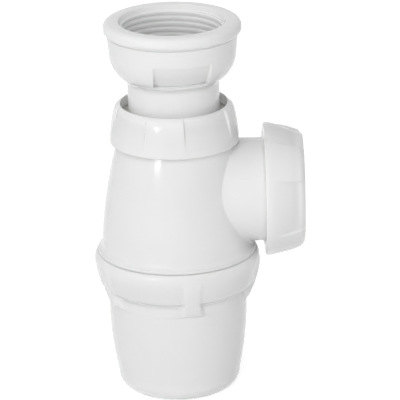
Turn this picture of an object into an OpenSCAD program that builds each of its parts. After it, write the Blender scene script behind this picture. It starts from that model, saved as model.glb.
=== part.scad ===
// Bottle trap for a basin, standing on its screw-off cup. The threaded inlet head and its dip tube
// slide in a compression fitting on the body, and a second fitting holds the outlet pipe.
// Millimetres, +Z up along the bottle, +X along the outlet. The origin is the centre of the cup's
// flat underside. Screw threads are drawn as plain cylinders at their mean diameter.

/* [Cup] */
// Height of the cup, from its flat underside to its rim
cup_h = 57.1; // [53:0.1:62]
// Diameter of the flat underside
cup_foot_d = 35.6; // [34:0.2:40]
// Radius of the corner between the underside and the wall
cup_corner_r = 6.4; // [4:0.2:7]
// Width of the cup's inward step under the bore of its collar
cup_step = 2.2; // [1.4:0.1:2.3]
// How far the cup's wall stands outside a straight line from corner to collar
cup_bulge = 1.2; // [0:0.1:1.4]
// Thickness of the cup's wall
cup_wall = 2.2; // [1.6:0.1:2.6]
// Thickness of the cup's floor
cup_floor = 2.4; // [1.8:0.1:4]
// Thickness of the collar round the cup's thread
collar_wall = 3.3; // [3:0.1:4.5]
// Height of the collar
collar_h = 13.8; // [12.4:0.1:16]
// Height of the washer's ledge above the collar's lower edge
ledge_rise = 2.7; // [2:0.1:3]
// Thickness of the rubber washer on that ledge
washer_t = 2; // [1:0.1:3]

/* [Grip ribs of the cup] */
// Number of grip ribs round the collar
rib_count = 5; // [3:1:8]
// Width of a grip rib at its outer face
rib_w = 6.6; // [4:0.2:10]
// How much further each side of a rib reaches at the cup's wall
rib_flare = 2; // [0.4:0.1:3]
// Length of a grip rib
rib_len = 15.7; // [14:0.1:18]
// Distance of a rib's top below the cup's rim
rib_drop = 3.6; // [2:0.1:5]
// How far a rib stands out of the collar
rib_proud = 0.35; // [0.2:0.05:0.8]
// How far a rib's foot stands out of the cup's wall
rib_foot_proud = 1.4; // [0.6:0.1:1.6]
// Angle of the first grip rib round the bottle
rib_turn = -80; // [-180:0.1:180]

/* [Body] */
// Mean diameter of the screwed skirt that the cup goes on
skirt_d = 58; // [57:0.1:60]
// Thickness of the skirt's wall
skirt_wall = 3; // [2:0.1:3.4]
// How far the bottom flange stands out past the skirt
flange_lip = 2.1; // [1.6:0.1:3]
// Height of the flange's straight edge
flange_h = 1; // [0.6:0.1:2]
// Width of the hollow curve between the flange and the bell
cove_w = 1.7; // [1:0.1:2]
// Height of that hollow curve
cove_h = 3.9; // [2:0.1:5]
// How far the bell stands outside a straight line from foot to shoulder
bell_bulge = 1; // [0:0.1:1.5]
// Width of the shoulder round the body's upper neck
shoulder_step = 0.5; // [0.3:0.1:1.2]
// Thickness of the body's wall
body_wall = 2.4; // [1.8:0.1:2.8]

/* [Outlet] */
// Outside diameter of the waste pipe that the outlet takes
pipe_d = 32; // [30:0.5:32]
// Thickness of the outlet's stub round the pipe
stub_wall = 4.2; // [3:0.1:5]
// Height of the outlet's stub above the flange
stub_rise = 2.2; // [0.8:0.1:4]
// Height of the shoulder above the outlet's stub
stub_drop = 0.5; // [0.5:0.1:4]
// Depth of the pipe's stop behind the open end of the outlet's nut
pipe_stop = 3.6; // [1:0.1:8]
// How far the stop stands in from the pipe's guide
stop_step = 1.7; // [1:0.1:3]
// Gap between the cup's ribs and the outlet's nut
outlet_clear = 1.75; // [1:0.05:8]

/* [Compression fittings] */
// Thickness of a screwed neck round the dip tube, at its mean diameter
neck_wall = 3.95; // [3.6:0.05:5]
// Length of a screwed neck past its nut's open end
neck_len = 6.5; // [5.5:0.1:7.5]
// Thickness of a neck's edge at the mouth of the seal's seat
seat_lip = 1.4; // [1:0.1:2]
// Depth of the seal's seat
seat_depth = 3; // [2:0.1:4]
// Width of the step at the bottom of the seat
seat_step = 0.1; // [0.1:0.05:0.5]
// How far a seal's brim reaches over the neck's edge
seal_brim = 0.5; // [0.3:0.1:1]
// Thickness of a seal above its seat
seal_head_t = 1.9; // [1.2:0.1:2.4]
// Thickness of a slip ring
ring_t = 2.1; // [1.4:0.1:3]
// How much smaller in radius a slip ring is than the neck
ring_step = 0.4; // [0.3:0.05:0.8]

/* [Nuts] */
// Thickness of a nut round its thread at the open end
nut_wall = 2.8; // [2.4:0.1:3.6]
// How much narrower in radius a nut is at the start of its rounded top
nut_taper = 1.8; // [1:0.1:2]
// How far a nut's side stands outside a straight line from open end to rounded top
nut_bulge = 0.25; // [0:0.05:0.5]
// Thickness of a nut's top over its slip ring
nut_top_t = 4.3; // [3.6:0.1:6]
// Radius of a nut's rounded top
nut_round_r = 2; // [1:0.1:2.1]
// Height of a tightened nut's open end over the shoulder
nut_stand = 0.5; // [0.4:0.1:1]
// Radial gap between the dip tube and the hole in its nut
tube_hole_gap = 3.05; // [1:0.05:3.2]
// Radial gap between the waste pipe and the hole in its nut
pipe_hole_gap = 1.5; // [0.8:0.05:3.5]
// Extra radius of the outlet's nut at its open end
outlet_nut_extra = 1; // [0:0.05:1.2]
// Number of grip hollows round a nut
nut_hollows = 4; // [3:1:6]
// Angle that one grip hollow of a nut takes up
nut_hollow_angle = 52; // [20:1:54]
// Depth of a nut's grip hollow at its top
nut_hollow_depth = 1.05; // [0.4:0.05:1.2]
// Angle of the first hollow of the compression nut
nut_turn = -55.3; // [-180:0.1:180]
// Angle of the first hollow of the outlet's nut, round the outlet's own axis
outlet_nut_turn = -88.6; // [-180:0.1:180]

/* [Inlet head and dip tube] */
// Height of the head's top above the compression nut
head_rise = 33.4; // [33:0.1:50]
// Outside diameter of the dip tube
tube_d = 35.9; // [35:0.1:37]
// Thickness of the dip tube's wall
tube_wall = 2; // [1.4:0.1:2.6]
// Gap between the dip tube's lower end and the cup's floor
tube_foot_gap = 10.6; // [6:0.2:20]
// Minor diameter of the inlet's G 1 1/4 thread
inlet_thread_d = 38.95; // [38.9:0.01:39.1]
// Depth of that thread, which the mouth's countersink clears
inlet_thread_depth = 1.48; // [1.4:0.01:1.6]
// Depth of the inlet's countersink
inlet_mouth_h = 1.4; // [0.8:0.1:2]
// Length of the inlet's thread
inlet_thread_len = 12; // [10:0.1:12.4]
// Thickness of the head's barrel round the thread
barrel_wall = 4.55; // [4:0.05:5.5]
// Height of the head from its top to where its bowl starts
barrel_h = 11.9; // [11:0.1:14]
// How far the rim stands out of the barrel
rim_lip = 1.4; // [1:0.1:3]
// Height of the head's rim
rim_h = 4.8; // [3.5:0.1:6]
// Rounding of the rim's top edge
rim_round_r = 1.4; // [0.4:0.1:2]
// How much narrower in radius the barrel is where its bowl starts
bowl_step = 0.6; // [0.4:0.1:1]
// Radius of the bowl's curve
bowl_r = 13.5; // [13:0.1:14.5]
// Height of the gasket's groove
groove_h = 3; // [2.4:0.1:3.2]
// Depth of the gasket's groove behind the thread's crests
groove_step = 0.7; // [0.4:0.05:1]
// Thickness of the inlet's gasket
gasket_t = 2; // [1.5:0.1:2.4]
// How far the gasket's bore stands back from the dip tube's bore
gasket_step = 0.75; // [0.5:0.05:1.5]

/* [Grip hollows of the head] */
// Number of grip hollows round the head
head_hollows = 3; // [2:1:4]
// Width of a grip hollow of the head, at its lower end
head_hollow_w = 20.6; // [12:0.2:24]
// How much further each side of a head hollow reaches at its top
head_hollow_flare = 1.1; // [0:0.1:2]
// Thickness that a head hollow leaves outside the dip tube
head_hollow_skin = 0.25; // [0.2:0.05:0.8]
// Depth of a head hollow's floor below the bowl's start, at its lower end
head_hollow_low = 9.7; // [8:0.1:10]
// Height above the bowl's start at which a head hollow runs out
head_hollow_high = 1.3; // [0.5:0.1:2]
// Angle of the first grip hollow of the head
head_turn = -81.7; // [-180:0.1:180]

/* [Clearances] */
// Radial clearance between screwed parts
thread_gap = 0.3; // [0.2:0.05:0.4]
// Clearance between faces that close on each other
face_gap = 0.2; // [0.1:0.05:0.3]
// Radial clearance between a seal and the pipe that it grips
grip_gap = 0.05; // [0.03:0.01:0.1]
// Radial clearance round a pipe in its guide
pipe_gap = 0.2; // [0.1:0.05:0.4]
// Radial clearance round the dip tube and in the slip rings
guide_gap = 0.4; // [0.2:0.05:0.5]
// Open line between the cup's rim and the body's flange
seam_gap = 0.4; // [0.2:0.05:0.6]

/* [Hidden] */
$fn = 96;
// Steps in a rounded corner and in a long curve
corner_steps = 5;
curve_steps = 7;
// Overshoot of a cut past the face that it opens
over = 1;

white = "white";
soft_white = "gainsboro";
rubber = "dimgray";

// Radii of the pipes and of what fits round them
tube_r = tube_d/2;
tube_bore_r = tube_r - tube_wall;
tube_guide_r = tube_r + guide_gap;
pipe_r = pipe_d/2;
pipe_guide_r = pipe_r + pipe_gap;
waterway_r = pipe_guide_r - stop_step;
stub_r = pipe_guide_r + stub_wall;

// Radii of a compression fitting, sized from the dip tube and shared by the outlet
neck_r = tube_guide_r + neck_wall;
seat_r = neck_r - seat_lip;
seat_low_r = tube_guide_r + seat_step;
seal_r = seat_r + seal_brim;
ring_r = neck_r - ring_step;
nut_bore_r = neck_r + thread_gap;
ring_room_r = ring_r + thread_gap;
nut_r = nut_bore_r + nut_wall;

// Radii of the cup's thread and of what it joins
skirt_r = skirt_d/2;
collar_bore_r = skirt_r + thread_gap;
collar_r = collar_bore_r + collar_wall;
cup_r = collar_bore_r - cup_step;
cup_bore_r = cup_r - cup_wall;
flange_r = skirt_r + flange_lip;
bell_r = flange_r - cove_w;
shoulder_r = neck_r + shoulder_step;

// Levels, from the floor up
collar_z = cup_h - collar_h;
ledge_z = collar_z + ledge_rise;
washer_z = ledge_z + face_gap/2;
skirt_z = washer_z + washer_t + face_gap/2;
flange_z = cup_h + seam_gap;
cove_z = flange_z + flange_h;
bell_z = cove_z + cove_h;
outlet_z = cove_z + stub_rise + stub_r;
shoulder_z = outlet_z + stub_r + stub_drop;
nut_z = shoulder_z + nut_stand;
outlet_reach = collar_r + rib_proud + outlet_clear;
tube_foot_z = cup_floor + tube_foot_gap;

// Heights along a fitting, from its nut's open end
seal_h = neck_len + face_gap + face_gap/2;
ring_h = seal_h + seal_head_t + face_gap;
nut_stop_h = ring_h + ring_t + face_gap;
nut_h = nut_stop_h + nut_top_t;

// Levels and radii of the inlet's head
head_z = nut_z + nut_h + head_rise;
rim_z = head_z - rim_h;
bowl_z = head_z - barrel_h;
thread_z = head_z - inlet_mouth_h - inlet_thread_len;
groove_z = thread_z - groove_h;
inlet_thread_r = inlet_thread_d/2;
mouth_r = inlet_thread_r + inlet_thread_depth;
barrel_r = mouth_r + barrel_wall;
rim_r = barrel_r + rim_lip;
groove_r = inlet_thread_r + groove_step;

// Points on a round corner
function arc(c, r, a0, a1, n = corner_steps) =
    [for (i = [0:n]) let (a = a0 + (a1 - a0)*i/n) c + r*[cos(a), sin(a)]];

// Points on a shallow curve from p to q that stands out by b at its middle
function bow(p, q, b, n = curve_steps) =
    [for (i = [0:n]) let (t = i/n) p + (q - p)*t + [4*b*t*(1 - t), 0]];

// Points given as shares of the way from p to q, across and up
function between(p, q, shares) =
    [for (s = shares) [p[0] + (q[0] - p[0])*s[0], p[1] + (q[1] - p[1])*s[1]]];

// Points of an outline, moved inwards by d
function inset(points, d) = [for (p = points) p - [d, 0]];

// Points of a list in the other order
function flip(points) = [for (i = [len(points) - 1:-1:0]) points[i]];

// A sector of a solid of revolution, centred on an angle
module sector(centre, width) {
    rotate([0, 0, centre - width/2]) rotate_extrude(angle = width) children();
}

// A flat ring with square edges
module washer(outer_r, inner_r, h, z) {
    translate([0, 0, z]) difference() {
        cylinder(r = outer_r, h = h);
        translate([0, 0, -over]) cylinder(r = inner_r, h = h + 2*over);
    }
}

// The cup's wall curves, from the corner's top to the collar's underside
cup_corner_c = [cup_foot_d/2, cup_corner_r];
cup_wall_curve = bow(cup_corner_c + [cup_corner_r, 0], [cup_r, collar_z], cup_bulge);
cup_bore_corner_r = cup_corner_r - cup_wall;
cup_bore_corner_c = [cup_foot_d/2, cup_floor + cup_bore_corner_r];
// The collar's swelling outer curve, from the cup's wall to its widest line
collar_curve = between([cup_r, collar_z], [collar_r, cup_h],
    [[0.42, 0.03], [0.62, 0.12], [0.77, 0.29], [0.9, 0.51], [1, 0.7], [1, 0.88]]);
collar_edge_r = 0.6;

module cup_shell() {
    rotate_extrude() polygon(concat(
        [[0, 0]],
        arc(cup_corner_c, cup_corner_r, -90, 0),
        cup_wall_curve,
        collar_curve,
        [[collar_r - collar_edge_r/2, cup_h - collar_edge_r],
         [collar_r - 1.5*collar_edge_r, cup_h],
         [collar_bore_r, cup_h], [collar_bore_r, ledge_z], [cup_bore_r, ledge_z]],
        flip(inset(cup_wall_curve, cup_wall)),
        flip(arc(cup_bore_corner_c, cup_bore_corner_r, -90, 0)),
        [[0, cup_floor]]));
}

// Outline of a rib in a cut through the bottle's axis. Its back lies inside the cup's wall.
rib_top_z = cup_h - rib_drop;
rib_foot_z = rib_top_z - rib_len;
rib_back_r = collar_bore_r + 0.15*collar_wall;
rib_face = between([cup_r, rib_foot_z], [collar_r, rib_top_z],
    [[0.86, 0.57], [0.6, 0.3]]);
rib_outline = concat(
    [[collar_r - 0.4*collar_wall, rib_top_z], [collar_r + rib_proud, rib_top_z - 0.03*rib_len],
     [collar_r + 0.3*rib_proud, rib_top_z - 0.22*rib_len]],
    rib_face,
    [[cup_r + 0.8*rib_foot_proud, rib_foot_z + 0.03*rib_len],
     [cup_r + 0.5*rib_foot_proud, rib_foot_z],
     [cup_r - cup_wall/2, rib_foot_z], [cup_r - cup_wall/2, collar_z],
     [rib_back_r, ledge_z - 0.2*ledge_rise], [rib_back_r, rib_top_z - 0.13*rib_len]]);

module rib() {
    root_r = cup_r - cup_wall;
    face_r = cup_r + (collar_r - cup_r)/2;
    crown_r = collar_r + rib_proud + over;
    root_w = rib_w/2 + rib_flare;
    intersection() {
        rotate_extrude() polygon(rib_outline);
        translate([0, 0, rib_foot_z - over]) linear_extrude(rib_len + 2*over)
            polygon([[root_r, -root_w], [cup_r, -root_w], [face_r, -rib_w/2], [crown_r, -rib_w/2],
                     [crown_r, rib_w/2], [face_r, rib_w/2], [cup_r, root_w], [root_r, root_w]]);
    }
}

module bottle_cup() {
    color(white) {
        cup_shell();
        for (i = [0:rib_count - 1]) rotate([0, 0, rib_turn + i*360/rib_count]) rib();
    }
}

module cup_washer() {
    color(rubber) washer(skirt_r, skirt_r - skirt_wall - face_gap, washer_t, washer_z);
}

// The bell's outer curve, from its foot to the top shoulder
bell_curve = bow([bell_r, bell_z], [shoulder_r, shoulder_z], bell_bulge);
// Steps of that curve that the chamber follows inside
chamber_steps = curve_steps - 1;
chamber_curve = [for (i = [0:chamber_steps]) bell_curve[i] - [body_wall, 0]];
chamber_top_z = bell_curve[chamber_steps][1] + (shoulder_z - bell_curve[chamber_steps][1])/3;
// Level at which the skirt's bore starts to close in to the chamber
chamber_foot_z = cove_z + flange_h;
// The hollow curve from the flange's edge up to the bell
cove_curve = [for (i = [0:corner_steps]) let (a = 90*i/corner_steps)
    [bell_r + cove_w*(1 - sin(a)), cove_z + cove_h*(1 - cos(a))]];

// The seat for a cone seal, cut into the mouth of a neck
module seat_cut() {
    translate([0, 0, neck_len - seat_depth])
        cylinder(r1 = seat_low_r, r2 = seat_r, h = seat_depth);
    translate([0, 0, neck_len]) cylinder(r = seat_r, h = over);
}

module along_outlet() {
    translate([outlet_reach, 0, outlet_z]) rotate([0, 90, 0]) children();
}

// The body's bell, skirt and neck as one closed shell, before the outlet is added
module body_shell() {
    rotate_extrude() polygon(concat(
        [[skirt_r - skirt_wall, skirt_z], [skirt_r, skirt_z], [skirt_r, flange_z],
         [flange_r, flange_z]],
        cove_curve,
        bell_curve,
        [[neck_r, shoulder_z], [neck_r, nut_z + neck_len], [tube_guide_r, nut_z + neck_len],
         [tube_guide_r, chamber_top_z]],
        flip(chamber_curve),
        [[skirt_r - skirt_wall, chamber_foot_z]]));
}

// Everything inside the bell's inner face and its neck, used to trim the outlet's stub
module chamber() {
    rotate_extrude() polygon(concat(
        [[0, skirt_z], [skirt_r - skirt_wall, skirt_z], [skirt_r - skirt_wall, chamber_foot_z]],
        chamber_curve,
        [[tube_guide_r, chamber_top_z], [tube_guide_r, nut_z], [0, nut_z]]));
}

// Distance from the bottle's axis at which the stub and its bore start, inside the chamber
stub_root = stub_r/2;

module outlet_stub() {
    along_outlet() {
        translate([0, 0, stub_root - outlet_reach])
            cylinder(r = stub_r, h = outlet_reach - stub_root + neck_len/3);
        cylinder(r = neck_r, h = neck_len);
    }
}

module outlet_bore() {
    along_outlet() {
        translate([0, 0, stub_root - outlet_reach]) cylinder(r = waterway_r, h = outlet_reach);
        translate([0, 0, -pipe_stop]) cylinder(r = pipe_guide_r, h = pipe_stop + neck_len + over);
        seat_cut();
    }
}

module trap_body() {
    color(white) difference() {
        union() {
            body_shell();
            difference() {
                outlet_stub();
                chamber();
            }
        }
        outlet_bore();
        translate([0, 0, nut_z]) seat_cut();
    }
}

// The bowl's curve, from the fillet on the dip tube up to the barrel
bowl_c = [barrel_r - bowl_step - bowl_r, bowl_z];
fillet_r = 1.25;
bowl_low_a = acos((tube_r + fillet_r - bowl_c[0])/bowl_r);
bowl_curve = arc(bowl_c, bowl_r, -bowl_low_a, 0, curve_steps);
bowl_foot_z = bowl_curve[0][1];
fillet_curve = between([tube_r, bowl_foot_z - 2*fillet_r], [tube_r + fillet_r, bowl_foot_z],
    [[0, 0], [0.24, 0.5], [0.56, 0.8]]);

// A grip hollow of the head: a slope up to the barrel, between sides that face each other
module head_hollow() {
    low_z = bowl_z - head_hollow_low;
    high_z = bowl_z + head_hollow_high;
    low_w = head_hollow_w/2;
    high_w = low_w + head_hollow_flare;
    intersection() {
        sector(0, 150) polygon([
            [tube_r + head_hollow_skin, low_z], [barrel_r - bowl_step, high_z],
            [rim_r + over, high_z], [rim_r + over, low_z]]);
        rotate([90, 0, 90]) linear_extrude(rim_r + 2*over)
            polygon([[-low_w, low_z - over], [low_w, low_z - over],
                     [high_w, high_z + over], [-high_w, high_z + over]]);
    }
}

module inlet_tube() {
    color(white) difference() {
        rotate_extrude() polygon(concat(
            [[tube_bore_r, tube_foot_z], [tube_r, tube_foot_z]],
            fillet_curve,
            bowl_curve,
            [[barrel_r, rim_z], [rim_r - 0.3*rim_lip, rim_z], [rim_r, rim_z + 0.2*rim_h]],
            arc([rim_r - rim_round_r, head_z - rim_round_r], rim_round_r, 0, 90),
            [[mouth_r, head_z], [inlet_thread_r, head_z - inlet_mouth_h],
             [inlet_thread_r, thread_z], [groove_r, thread_z], [groove_r, groove_z],
             [tube_bore_r + gasket_step, groove_z], [tube_bore_r, bowl_foot_z]]));
        for (i = [0:head_hollows - 1])
            rotate([0, 0, head_turn + i*360/head_hollows]) head_hollow();
    }
}

module inlet_gasket() {
    color(rubber) washer(groove_r - face_gap, tube_bore_r + gasket_step, gasket_t, groove_z);
}

// A nut with its open end at the origin and its hole at the top, and hollows to grip it by
module grip_nut(hole_r, turn, extra = 0) {
    foot_r = nut_r + extra;
    top_r = nut_r - nut_taper;
    round_z = nut_h - nut_round_r;
    flat_r = top_r - nut_round_r;
    floor_r = top_r - nut_hollow_depth;
    hollow_low = nut_top_t/2;
    edge = 0.3;
    difference() {
        rotate_extrude() polygon(concat(
            [[nut_bore_r + 2*edge, 0], [foot_r - edge, 0]],
            bow([foot_r, edge], [top_r, round_z], nut_bulge),
            arc([flat_r, round_z], nut_round_r, 16, 80),
            [[flat_r, nut_h], [hole_r + edge, nut_h], [hole_r, nut_h - edge],
             [hole_r, nut_stop_h], [ring_room_r, nut_stop_h],
             [ring_room_r, ring_h - face_gap], [nut_bore_r, ring_h - 2*face_gap],
             [nut_bore_r, 2*edge]]));
        for (i = [0:nut_hollows - 1])
            sector(turn + i*360/nut_hollows, nut_hollow_angle) polygon([
                [foot_r, hollow_low], [floor_r, round_z - nut_round_r/2],
                [floor_r - edge, round_z + nut_round_r/5],
                [flat_r, nut_h], [flat_r, nut_h + over],
                [foot_r + over, nut_h + over], [foot_r + over, hollow_low]]);
    }
}

// A cone seal whose small end points down into its seat
module cone_seal(bore_r) {
    tip_h = neck_len - 0.83*seat_depth;
    tip_r = seat_low_r + 0.17*(seat_r - seat_low_r) - face_gap;
    rotate_extrude() polygon([
        [bore_r, tip_h], [tip_r, tip_h], [seat_r - face_gap, neck_len],
        [seat_r - face_gap, seal_h], [seal_r, seal_h],
        [seal_r, seal_h + seal_head_t], [bore_r, seal_h + seal_head_t]]);
}

module compression_nut() {
    color(white) translate([0, 0, nut_z]) grip_nut(tube_r + tube_hole_gap, nut_turn);
}

module tube_slip_ring() {
    color(soft_white) translate([0, 0, nut_z]) washer(ring_r, tube_guide_r, ring_t, ring_h);
}

module tube_cone_seal() {
    color(rubber) translate([0, 0, nut_z]) cone_seal(tube_r + grip_gap);
}

module outlet_nut() {
    color(white) along_outlet()
        grip_nut(pipe_r + pipe_hole_gap, outlet_nut_turn, outlet_nut_extra);
}

module outlet_slip_ring() {
    color(soft_white) along_outlet() washer(ring_r, pipe_r + guide_gap, ring_t, ring_h);
}

module outlet_cone_seal() {
    color(rubber) along_outlet() cone_seal(pipe_guide_r);
}

trap_body();
bottle_cup();
cup_washer();
inlet_tube();
inlet_gasket();
compression_nut();
tube_slip_ring();
tube_cone_seal();
outlet_nut();
outlet_slip_ring();
outlet_cone_seal();
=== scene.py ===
from math import asin, cos, hypot, pi, radians, sin, sqrt, tan, tau

import bmesh
import bpy
import numpy as np
from bpy.props import (
    BoolProperty, FloatProperty, FloatVectorProperty, IntProperty, PointerProperty)
from mathutils import Matrix, Vector


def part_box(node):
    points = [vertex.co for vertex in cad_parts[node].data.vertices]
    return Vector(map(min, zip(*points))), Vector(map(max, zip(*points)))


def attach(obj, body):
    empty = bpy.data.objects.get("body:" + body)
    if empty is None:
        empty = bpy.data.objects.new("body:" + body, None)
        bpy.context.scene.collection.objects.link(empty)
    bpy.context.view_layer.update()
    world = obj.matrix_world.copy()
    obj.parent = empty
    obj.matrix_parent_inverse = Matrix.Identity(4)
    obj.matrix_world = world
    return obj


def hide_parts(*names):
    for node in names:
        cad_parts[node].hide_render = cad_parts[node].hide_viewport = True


bl_info = {
    "name": "Bottle trap for a basin",
    "version": (1, 0, 0),
    "blender": (4, 5, 0),
    "location": "3D View > Sidebar > Bottle trap",
    "description": "Dresses the parts of a plastic bottle trap in turned mouldings and finishes",
    "category": "Object",
}

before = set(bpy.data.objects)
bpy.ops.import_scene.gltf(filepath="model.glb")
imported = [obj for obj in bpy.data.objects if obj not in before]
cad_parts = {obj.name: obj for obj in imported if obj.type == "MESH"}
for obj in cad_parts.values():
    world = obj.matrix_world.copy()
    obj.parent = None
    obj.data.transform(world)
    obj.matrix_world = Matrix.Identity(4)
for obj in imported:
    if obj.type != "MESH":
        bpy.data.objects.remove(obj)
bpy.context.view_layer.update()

# Outlines are written in millimetres, as (radius, height), and made in metres.
MM = 0.001


# The sizes that the pieces share with the frame, in millimetres

def frame_span(node, axis):
    """Lowest and highest place of a frame node along one axis, in millimetres."""
    low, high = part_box(node)
    return low[axis] / MM, high[axis] / MM


NUT_FOOT, NUT_TOP = frame_span("compression_nut", 2)
CUP_RIM = frame_span("bottle_cup", 2)[1]
SKIRT_EDGE, NECK_EDGE = frame_span("trap_body", 2)
TUBE_FOOT, HEAD_TOP = frame_span("inlet_tube", 2)
OUTLET_REACH = frame_span("outlet_nut", 0)[0]
OUTLET_HEIGHT = sum(frame_span("outlet_nut", 2)) / 2
WASHER_LOW, WASHER_HIGH = frame_span("cup_washer", 2)
GASKET_LOW, GASKET_HIGH = frame_span("inlet_gasket", 2)
GASKET_RADIUS = frame_span("inlet_gasket", 0)[1]
RING_LOW, RING_HIGH = (z - NUT_FOOT for z in frame_span("tube_slip_ring", 2))
RING_RADIUS = frame_span("tube_slip_ring", 0)[1]
SEAL_TIP, SEAL_HIGH = (z - NUT_FOOT for z in frame_span("tube_cone_seal", 2))
SEAL_RADIUS = frame_span("tube_cone_seal", 0)[1]
SKIRT_RADIUS = frame_span("cup_washer", 0)[1]
FLANGE_RADIUS = -frame_span("trap_body", 0)[0]
NUT_RADIUS = frame_span("compression_nut", 0)[1]
OUTLET_NUT_RADIUS = frame_span("outlet_nut", 1)[1]
RIM_RADIUS = frame_span("inlet_tube", 0)[1]

NECK_LENGTH = NECK_EDGE - NUT_FOOT
NECK_RADIUS = 22.3
TUBE_RADIUS = 17.95
TUBE_BORE = 15.95
GUIDE_RADIUS = 18.35
PIPE_GUIDE = 16.2
WATERWAY = 14.5
STUB_RADIUS = 20.4
SEAT_RADIUS = 20.9
SEAT_LOW_RADIUS = 18.45
SEAT_DEPTH = 3.0
NUT_BORE = 22.6
RING_ROOM = 22.2
FLANGE_FOOT = CUP_RIM + 0.2
COVE_FOOT = CUP_RIM + 1.4
BELL_FOOT = COVE_FOOT + 3.9
BELL_RADIUS = 29.4
SHOULDER = NUT_FOOT - 0.5
SHOULDER_RADIUS = 22.8
COLLAR_FOOT = 43.3
COLLAR_BORE = 29.3
COLLAR_RADIUS = 32.6
LEDGE = 46.0
CUP_RADIUS = 27.1
CUP_WALL = 2.2
CUP_FLOOR = 2.4
CUP_CORNER = (17.8, 6.4)


def length(name, description, millimetres, low=0.0, high=200.0):
    """A size in metres that a user may change."""
    return FloatProperty(name=name, description=description, default=millimetres * MM,
                         min=low * MM, max=high * MM, precision=5, unit="LENGTH")


def turn(name, description, degrees):
    """An angle that a user may change."""
    return FloatProperty(name=name, description=description, default=radians(degrees),
                         unit="ROTATION")


def share(name, description, default, low=0.0, high=1.0):
    """A plain number that a user may change."""
    return FloatProperty(name=name, description=description, default=default, min=low, max=high)


def colour(name, description, value):
    """A linear colour that a user may change."""
    return FloatVectorProperty(name=name, description=description, default=value, size=3,
                               min=0.0, max=1.0, subtype="COLOR")


def count(name, description, default, low=1, high=1000):
    """A whole number that a user may change."""
    return IntProperty(name=name, description=description, default=default, min=low, max=high)


class TRAP_PG_threads(bpy.types.PropertyGroup):
    """The screw threads."""

    fitting_pitch: length("Fitting pitch", "Rise of a compression fitting's thread in a turn", 2.5)
    cup_pitch: length("Cup pitch", "Rise of the cup's thread in one turn", 3.0)
    inlet_pitch: length("Inlet pitch", "Rise of the inlet's thread in one turn", 2.309)
    depth: length("Depth", "Depth of the fittings' and the cup's threads", 0.7, 0.1, 1.0)
    inlet_depth: length("Inlet depth", "Depth of the inlet's thread", 0.6, 0.1, 1.48)
    crest: share("Crest", "Share of the pitch that the crest and its slopes take", 0.62)


class TRAP_PG_grips(bpy.types.PropertyGroup):
    """The grip hollows and ribs."""

    nut_hollows: count("Nut hollows", "Number of grip hollows round a nut", 4, 1, 12)
    nut_angle: turn("Nut hollow", "Angle that a nut's hollow takes up", 52)
    nut_first: turn("Compression nut turn", "Where the compression nut's hollows start", -55.3)
    outlet_first: turn("Outlet nut turn", "Where the outlet nut's hollows start", -88.6)
    nut_depth: length("Nut hollow depth", "Depth of a nut's hollow at its top", 1.05, 0.2, 1.2)
    head_hollows: count("Head hollows", "Number of grip hollows round the inlet's head", 3, 1, 6)
    head_width: length("Head hollow", "Width of a hollow of the head, at its foot", 20.6, 8, 24)
    head_flare: length("Head flare", "How much further each side reaches at the top", 1.1, 0, 2)
    head_first: turn("Head turn", "Where the head's hollows start", -81.7)
    head_flank: turn("Head flank", "Angle over which a hollow's side rises", 2.6)
    flank: turn("Nut flank", "Angle over which a nut's hollow's side rises", 1.5)
    ribs: count("Ribs", "Number of grip ribs round the cup's collar", 5, 1, 12)
    rib_first: turn("Rib turn", "Where the first rib stands", -80)
    rib_width: length("Rib width", "Width of a rib at its face", 6.6, 2, 12)
    rib_flare: length("Rib flare", "How much wider a rib's root is on each side", 2.0, 0, 3)
    rib_flank: turn("Rib flank", "Angle over which a rib's side rises", 3.2)


class TRAP_PG_mesh(bpy.types.PropertyGroup):
    """How finely the mouldings are made."""

    plain_columns: count("Plain columns", "Faces round a moulding without hollows", 480, 24, 960)
    hollow_columns: count("Hollow columns", "Faces round a moulding with hollows", 640, 24, 960)
    small_columns: count("Small columns", "Faces round a ring, seal or washer", 240, 24, 480)
    sharp: turn("Sharp edge", "Angle from which an edge between faces stays sharp", 38)


class TRAP_PG_finishes(bpy.types.PropertyGroup):
    """The colours and gloss of the finishes."""

    body: colour("Body white", "Colour of the body and the inlet", (0.88, 0.885, 0.88))
    cup: colour("Cup white", "Colour of the cup", (0.88, 0.885, 0.88))
    nut: colour("Nut white", "Colour of the nuts", (0.885, 0.89, 0.885))
    ring: colour("Ring white", "Colour of the slip rings", (0.71, 0.70, 0.66))
    rubber: colour("Rubber", "Colour of the seals, washer and gasket", (0.018, 0.018, 0.019))
    gloss: share("Gloss roughness", "Roughness of the moulded plastic", 0.13)
    matte: share("Matt roughness", "Roughness of the slip rings", 0.45)
    parting: length("Parting line", "Width of the mould's parting line", 0.22, 0, 1)


class TRAP_PG_stage(bpy.types.PropertyGroup):
    """The camera, the lamps and the floor."""

    distance: length("Distance", "From the camera to the trap", 1390, 100, 5000)
    elevation: turn("Elevation", "Height of the camera over the level of the trap", 19.71)
    bearing: turn("Bearing", "Place of the camera round the trap", -91.0)
    roll: turn("Roll", "Tilt of the camera about its view", 1.15)
    lens: share("Lens", "Focal length in millimetres", 317.3, 20, 500)
    aim_height: length("Aim height", "Height of the point that the camera looks at", 77)
    aim_side: length("Aim side", "How far that point lies to the right of the trap", 9.48)
    key: share("Key lamp", "Power of the key lamp in watts", 1.4, 0, 500)
    side: share("Side lamp", "Power of the lamp on the left in watts", 1.55, 0, 500)
    front: share("Front lamp", "Power of the wide lamp in front in watts", 10.7, 0, 500)
    fill: share("Fill lamp", "Power of the fill lamp in watts", 1.9, 0, 500)
    top: share("Top lamp", "Power of the lamp overhead in watts", 1.7, 0, 500)
    sky: share("Sky", "Strength of the even light all round", 0.3, 0, 2)
    floor: colour("Floor", "Colour of the floor", (0.86, 0.86, 0.86))


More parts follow.
